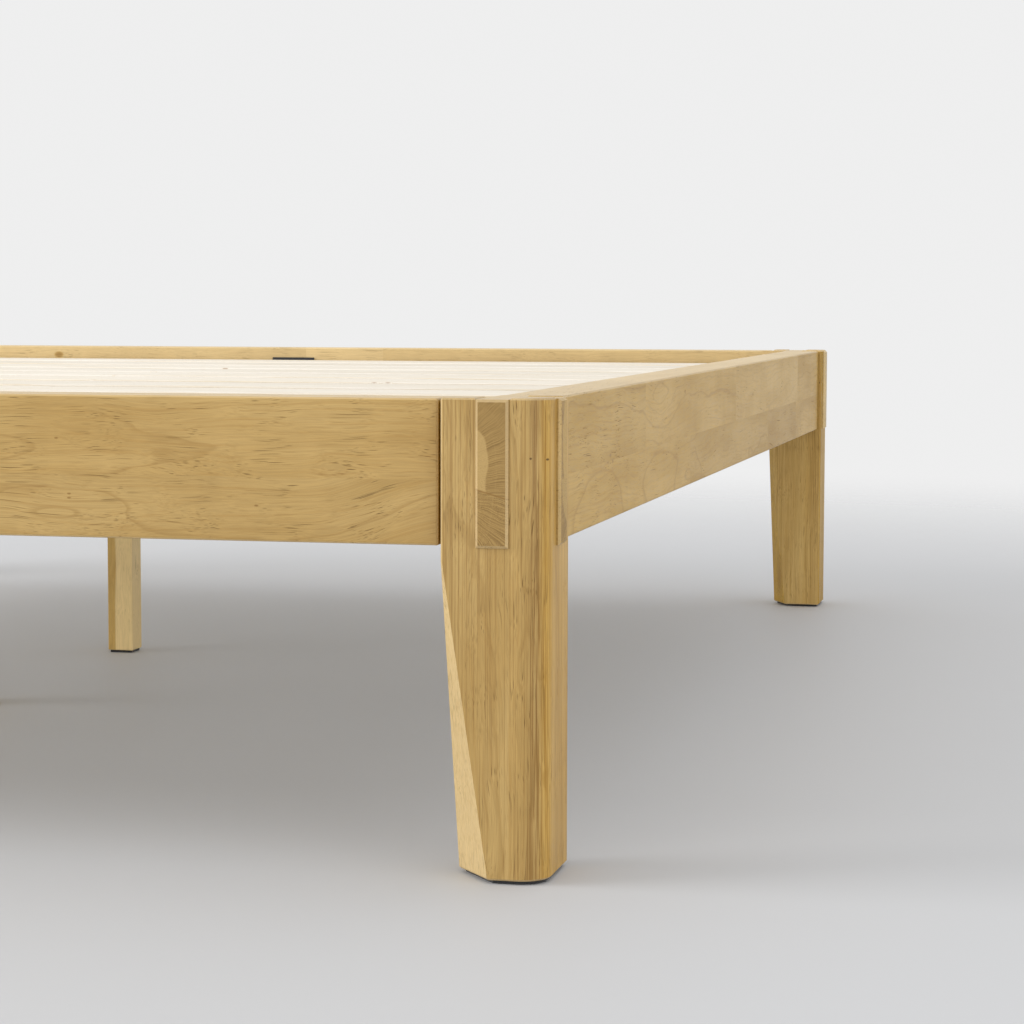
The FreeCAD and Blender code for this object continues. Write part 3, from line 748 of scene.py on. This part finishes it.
def pine_group():
    """Colour, roughness and relief of bare planed softwood. Knots is 1 in the middle of a knot."""
    tree, given, result = new_group("planed_softwood",
                                    {"Grain": "Vector", "Board": "Vector", "Knots": "Float"},
                                    {"Color": "Color", "Roughness": "Float", "Height": "Float"})
    chance = parts_of(tree, given["Board"])
    place = vector_calc(tree, "MULTIPLY_ADD", given["Board"], board_shift, given["Grain"])
    bend = swerve(tree, place, pine_bend, pine_bend_reach, 2.0)
    bent = parts_of(tree, vector_calc(tree, "ADD", given["Grain"], bend))
    from_pith = vector_of(tree, 0.0, calc(tree, "MULTIPLY_ADD", chance[1], pine_pith_spread[0], bent[1]),
                          calc(tree, "MULTIPLY_ADD", chance[2], pine_pith_spread[1], bent[2]))
    turns = calc(tree, "DIVIDE", vector_calc(tree, "LENGTH", from_pith), pine_ring_width)
    turns = calc(tree, "MULTIPLY_ADD", given["Knots"], rings_round_knot, turns)
    within = calc(tree, "FRACT", turns)
    ring = calc(tree, "MULTIPLY", rise(tree, within, 0.35, 0.92), rise(tree, within, 0.92, 1.0, 1.0, 0.0))
    flow = vector_calc(tree, "ADD", place, bend)
    streak = rise(tree, patches(tree, flow, pine_streak, 3.0)[0], 0.45, 0.75)
    fibre = rise(tree, patches(tree, flow, pine_fibre, 2.0)[0], 0.25, 0.75)
    tone = blend_colors(tree, calc(tree, "MULTIPLY", ring, pine_ring_share), early_wood, late_wood)
    tone = blend_colors(tree, calc(tree, "MULTIPLY", streak, resin_share), tone, resin_beige)
    tone = blend_colors(tree, rise(tree, given["Knots"], 0.35, 0.75, 0.0, knot_share), tone, knot_brown)
    bright = calc(tree, "MULTIPLY", rise(tree, fibre, 0.0, 1.0, *pine_fibre_tones),
                  calc(tree, "MULTIPLY_ADD", chance[0], slat_tone_range, darkest_slat))
    connect(tree, result["Color"], scaled(tree, tone, bright))
    connect(tree, result["Roughness"], calc(tree, "MULTIPLY_ADD", fibre, pine_fibre_roughness,
                                            pine_roughness))
    connect(tree, result["Height"], calc(tree, "MULTIPLY_ADD", ring, pine_ring_height,
                                         calc(tree, "MULTIPLY", fibre, fibre_height)))
    return tree


planed_softwood = pine_group()


def slat_material():
    made, tree, shader, place = new_material("slat_softwood")
    x, y, z = parts_of(tree, place)
    from_first = calc(tree, "SUBTRACT", y, first_slat_edge_y)
    number = calc(tree, "FLOOR", calc(tree, "DIVIDE", from_first, slat_pitch))
    numbers = chance_numbers(tree, number, 7.0, 3.0)
    from_edge = calc(tree, "MULTIPLY_ADD", number, -slat_pitch, from_first)
    knots = largest(tree, [bump_at(tree, x, y, each, slat_knot_reach) for each in slat_knots])
    wood = place_group(tree, planed_softwood, {"Grain": vector_of(tree, x, from_edge, z), "Board": numbers,
                                               "Knots": knots})
    coat(tree, shader, wood, wood_gloss)
    return made


finish_with(slat_material(), *["slat_%02d" % number for number in range(1, 12)])


# ------------------------------------------------------------------------------------ centre beam
# A softwood batten on edge under the middle of the slats, as long as the bed is inside, bored from
# above for the bolts of its two posts.

def beam_material():
    made, tree, shader, place = new_material("beam_softwood")
    x, y, z = parts_of(tree, place)
    wood = place_group(tree, planed_softwood, {"Grain": vector_of(tree, y, z, x), "Knots": 0.0,
                                               "Board": chance_numbers(tree, 1.0, 2.0, 3.0)})
    coat(tree, shader, wood, wood_gloss)
    return made


finish_with(beam_material(), "centre_beam")


# ------------------------------------------------------------------------------------ posts
# Two square posts of the lacquered hardwood under the centre beam, with a threaded steel insert
# in the top. A strip of darker heartwood runs down the left of each.
post_heart_x = -0.0045
post_painted_light = 1.19
post_painted_yellow = 1.10
post_heart_edge = 0.002
post_heart_and_light_tone = 0.12
post_sapwood_and_light_tone = 0.60
post_waver = 0.006
post_waver_patch = (0.02, 0.02, 0.09)
post_crowding = -0.28


def post_material():
    made, tree, shader, place = new_material("post_hardwood")
    x, y, z = parts_of(tree, place)
    numbers = chance_numbers(tree, calc(tree, "SIGN", y), 61.0, 5.0)
    across = calc(tree, "MULTIPLY_ADD", patches(tree, place, post_waver_patch, 1.0)[0], post_waver, x)
    # Both strips are painted paler than the wood, the sapwood most: painted light that lifts the shade under
    # the bed.
    tone = rise(tree, across, post_heart_x, post_heart_x + post_heart_edge, post_heart_and_light_tone,
                post_sapwood_and_light_tone)
    wood = place_group(tree, lacquered_hardwood,
                       {"Grain": vector_of(tree, z, x, calc(tree, "ABSOLUTE", y)), "Board": numbers,
                        "Pith": pith_by_chance(tree, numbers), "Swell": 0.0, "Crowding": post_crowding,
                        "End": end_grain(tree, (0, 0, 1)), "Tone": tone, "Wear and light": 1.0})
    # Painted light: the posts are also painted brighter and yellower all over.
    coat(tree, shader, wood, wood_gloss, tinted(tree, wood["Color"], post_painted_yellow, post_painted_light))
    return made


finish_with(post_material(), "support_post_foot", "support_post_head")


# ------------------------------------------------------------------------------------ brackets
# Two stirrups folded from 2.5 mm steel sheet and coated with black powder paint, which hang the ends
# of the beam from the end rails. Their screws are blacked steel.
paint_black = swatch(31, 31, 33)
paint_rubbed = swatch(74, 74, 77)
orange_peel = (0.0016, 0.0016, 0.0016)
dust_patch = (0.03, 0.03, 0.03)
dust_share = 0.12
orange_peel_height = 0.00005


def black_steel_material():
    made, tree, shader, place = new_material("black_powder_coat")
    edges_and_tops = place_group(tree, edge_wear_and_top_light, {})["Mask"]
    peel = patches(tree, place, orange_peel, 2.0)[0]
    dust = patches(tree, place, dust_patch, 4.0)[0]
    rubbed = calc(tree, "MULTIPLY", edges_and_tops, rise(tree, dust, 0.35, 0.65, 0.15, 0.7))
    color = blend_colors(tree, rubbed, paint_black, paint_rubbed)
    color = blend_colors(tree, rise(tree, dust, 0.5, 0.8, 0.0, dust_share), color, paint_rubbed)
    coat(tree, shader, {"Color": color, "Roughness": rise(tree, dust, 0.3, 0.7, 0.42, 0.56),
                        "Height": calc(tree, "MULTIPLY", peel, orange_peel_height)})
    return made


finish_with(black_steel_material(), "beam_bracket_foot", "beam_bracket_head", "bracket_screws")


# ------------------------------------------------------------------------------------ screws and bolts
# Countersunk wood screws for the slats and ledges, socket bolts for the corners and posts, and the
# posts' threaded inserts. All are turned steel, bright zinc plated.
zinc_light = swatch(204, 205, 208)
zinc_dull = swatch(160, 162, 166)
plating_patch = (0.004, 0.004, 0.004)
tool_mark = (0.0004, 0.0004, 0.0025)
tool_mark_height = 0.00002


def zinc_material():
    made, tree, shader, place = new_material("zinc_plate")
    cloud = patches(tree, place, plating_patch, 3.0)[0]
    marks = patches(tree, place, tool_mark, 2.0)[0]
    shader.inputs["Metallic"].default_value = 1.0
    coat(tree, shader, {"Color": blend_colors(tree, rise(tree, cloud, 0.3, 0.7), zinc_dull, zinc_light),
                        "Roughness": rise(tree, cloud, 0.3, 0.7, 0.40, 0.27),
                        "Height": calc(tree, "MULTIPLY", marks, tool_mark_height)})
    return made


finish_with(zinc_material(), "slat_screws", "ledge_screws", "corner_lock_bolts", "post_bolts",
            "post_inserts")


# ------------------------------------------------------------------------------------ felt pads
# Pads of pressed black wool felt, 3 mm thick, glued under the legs and posts. Their cut edges are
# the thin dark line between wood and floor.
felt_black = swatch(27, 27, 29)
felt_grey = swatch(58, 57, 58)
felt_tuft = (0.0011, 0.0011, 0.0007)
felt_hair = (0.00035, 0.0022, 0.0005)
felt_height = 0.0003


def felt_material():
    made, tree, shader, place = new_material("black_felt")
    tuft = patches(tree, place, felt_tuft, 3.0)[0]
    hair = patches(tree, place, felt_hair, 2.0)[0]
    mixed = calc(tree, "MULTIPLY", calc(tree, "ADD", tuft, hair), 0.5)
    shader.inputs["Sheen Weight"].default_value = 0.3
    coat(tree, shader, {"Color": blend_colors(tree, rise(tree, mixed, 0.4, 0.65), felt_black, felt_grey),
                        "Roughness": rise(tree, mixed, 0.3, 0.7, 0.88, 0.98),
                        "Height": calc(tree, "MULTIPLY", mixed, felt_height)})
    return made


finish_with(felt_material(), "foot_leg_pad_left", "foot_leg_pad_right", "head_leg_pad_left",
            "head_leg_pad_right", "post_pad_foot", "post_pad_head")


# ------------------------------------------------------------------------------------ floor
# A plain pale grey studio floor, round, which fades into the backdrop away from the bed.
floor_radius = 7.0
floor_drop = 0.0002
floor_grey = swatch(195, 196, 198)
floor_middle = (0.0, -0.3, 0.0)
fade_start = 1.9
fade_end = 4.6

shape = bmesh.new()
bmesh.ops.create_circle(shape, cap_ends=True, segments=96, radius=floor_radius)
bmesh.ops.translate(shape, verts=shape.verts, vec=(0, 0, -floor_drop))
floor_mesh = bpy.data.meshes.new("floor")
shape.to_mesh(floor_mesh)
shape.free()
floor = bpy.data.objects.new("floor", floor_mesh)
scene.collection.objects.link(floor)

painted, tree, shader, place = new_material("pale_floor")
shader.inputs["Base Color"].default_value = floor_grey
shader.inputs["Roughness"].default_value = 0.6
away = vector_calc(tree, "LENGTH", vector_calc(tree, "SUBTRACT", place, floor_middle))
connect(tree, shader.inputs["Alpha"], rise(tree, away, fade_start, fade_end, 1.0, 0.0))
floor_mesh.materials.append(painted)


# ------------------------------------------------------------------------------------ light
# A white studio: even light from all round, a large soft window at the left, a low soft strip in
# front and a faint fill at the right. The backdrop that the camera sees is a little less white.
world_light = 1.0
backdrop_white = 0.86

world = bpy.data.worlds.new("studio")
scene.world = world
world.use_nodes = True
tree = world.node_tree
background = tree.nodes["Background"]
path = add(tree, "LightPath")
shown = largest(tree, [path.outputs["Is Camera Ray"], path.outputs["Is Glossy Ray"],
                       path.outputs["Is Transmission Ray"]])
connect(tree, background.inputs["Color"], (1, 1, 1, 1))
connect(tree, background.inputs["Strength"],
        calc(tree, "MULTIPLY_ADD", shown, backdrop_white - world_light, world_light))


def soft_lamp(name, place, target, width, height, watts):
    lamp = bpy.data.lights.new(name, "AREA")
    lamp.shape = "RECTANGLE"
    lamp.size = width
    lamp.size_y = height
    lamp.energy = watts
    made = bpy.data.objects.new(name, lamp)
    scene.collection.objects.link(made)
    aim = Vector(target) - Vector(place)
    made.matrix_world = Matrix.Translation(place) @ aim.to_track_quat("-Z", "Y").to_matrix().to_4x4()
    made.visible_camera = False


soft_lamp("window", place=(-4.8, -2.5, 2.2), target=(0.2, -0.3, 0.2), width=3.2, height=2.4, watts=220)
soft_lamp("low strip", place=(-0.4, -5.4, 0.26), target=(0.2, -0.6, 0.18), width=4.2, height=0.4, watts=28)
soft_lamp("side fill", place=(3.9, -3.4, 0.7), target=(0.8, -0.6, 0.2), width=2.4, height=1.2, watts=32)
